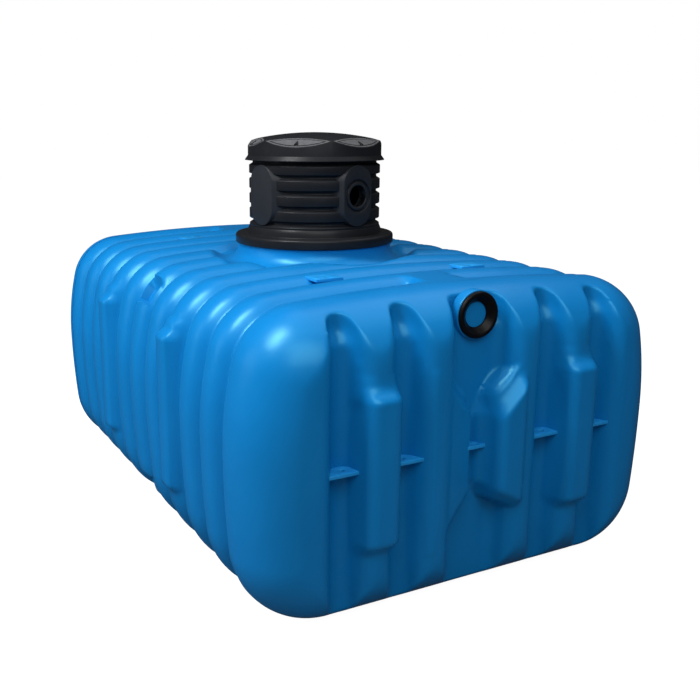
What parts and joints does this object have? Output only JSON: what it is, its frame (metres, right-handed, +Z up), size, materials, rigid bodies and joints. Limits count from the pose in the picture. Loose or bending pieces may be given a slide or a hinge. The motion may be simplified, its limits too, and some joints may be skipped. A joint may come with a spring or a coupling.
{
  "type": "flat underground rainwater tank",
  "caption": "Flat ribbed rainwater tank shell with rounded ends, roof neck, black access riser with side pipe socket, lift-off lid and a front inlet seal.",
  "frame": {"origin": "bottom centre of the tank, under the riser's axis", "axes": "+Z up, +Y along the tank away from the inlet end, +X across it"},
  "size_m": [2.024, 2.952, 1.87],
  "materials": {
    "blue": "satin rotationally moulded polyethylene",
    "riser_black": "satin black injection moulded polyethylene",
    "lid_black": "satin black moulded polyethylene with a light grain",
    "seal_rubber": "black rubber"
  },
  "bodies": {
    "tank": {"floor": "blue", "roof": "blue", "front_end": "blue", "rear_end": "blue", "neck_collar": "blue", "front_anchor_lugs": "blue", "rear_anchor_lugs": "blue", "roof_lifting_lugs": "blue", "roof_saddles": "blue", "right_side_columns": "blue", "left_side_columns": "blue", "left_upper_side": "blue", "left_shoulder": "blue", "left_lower_side": "blue", "left_haunch": "blue", "right_upper_side": "blue", "right_shoulder": "blue", "right_lower_side": "blue", "right_haunch": "blue", "riser_flange": "riser_black", "riser_shaft": "riser_black", "inlet_seal": "seal_rubber"},
    "lid": {"lid_cover": "lid_black"}
  },
  "joints": [
    {"name": "lid_lift", "type": "slide", "parent": "tank", "child": "lid", "axis": [0, 0, 1], "range_m": [0, 0.6]}
  ]
}
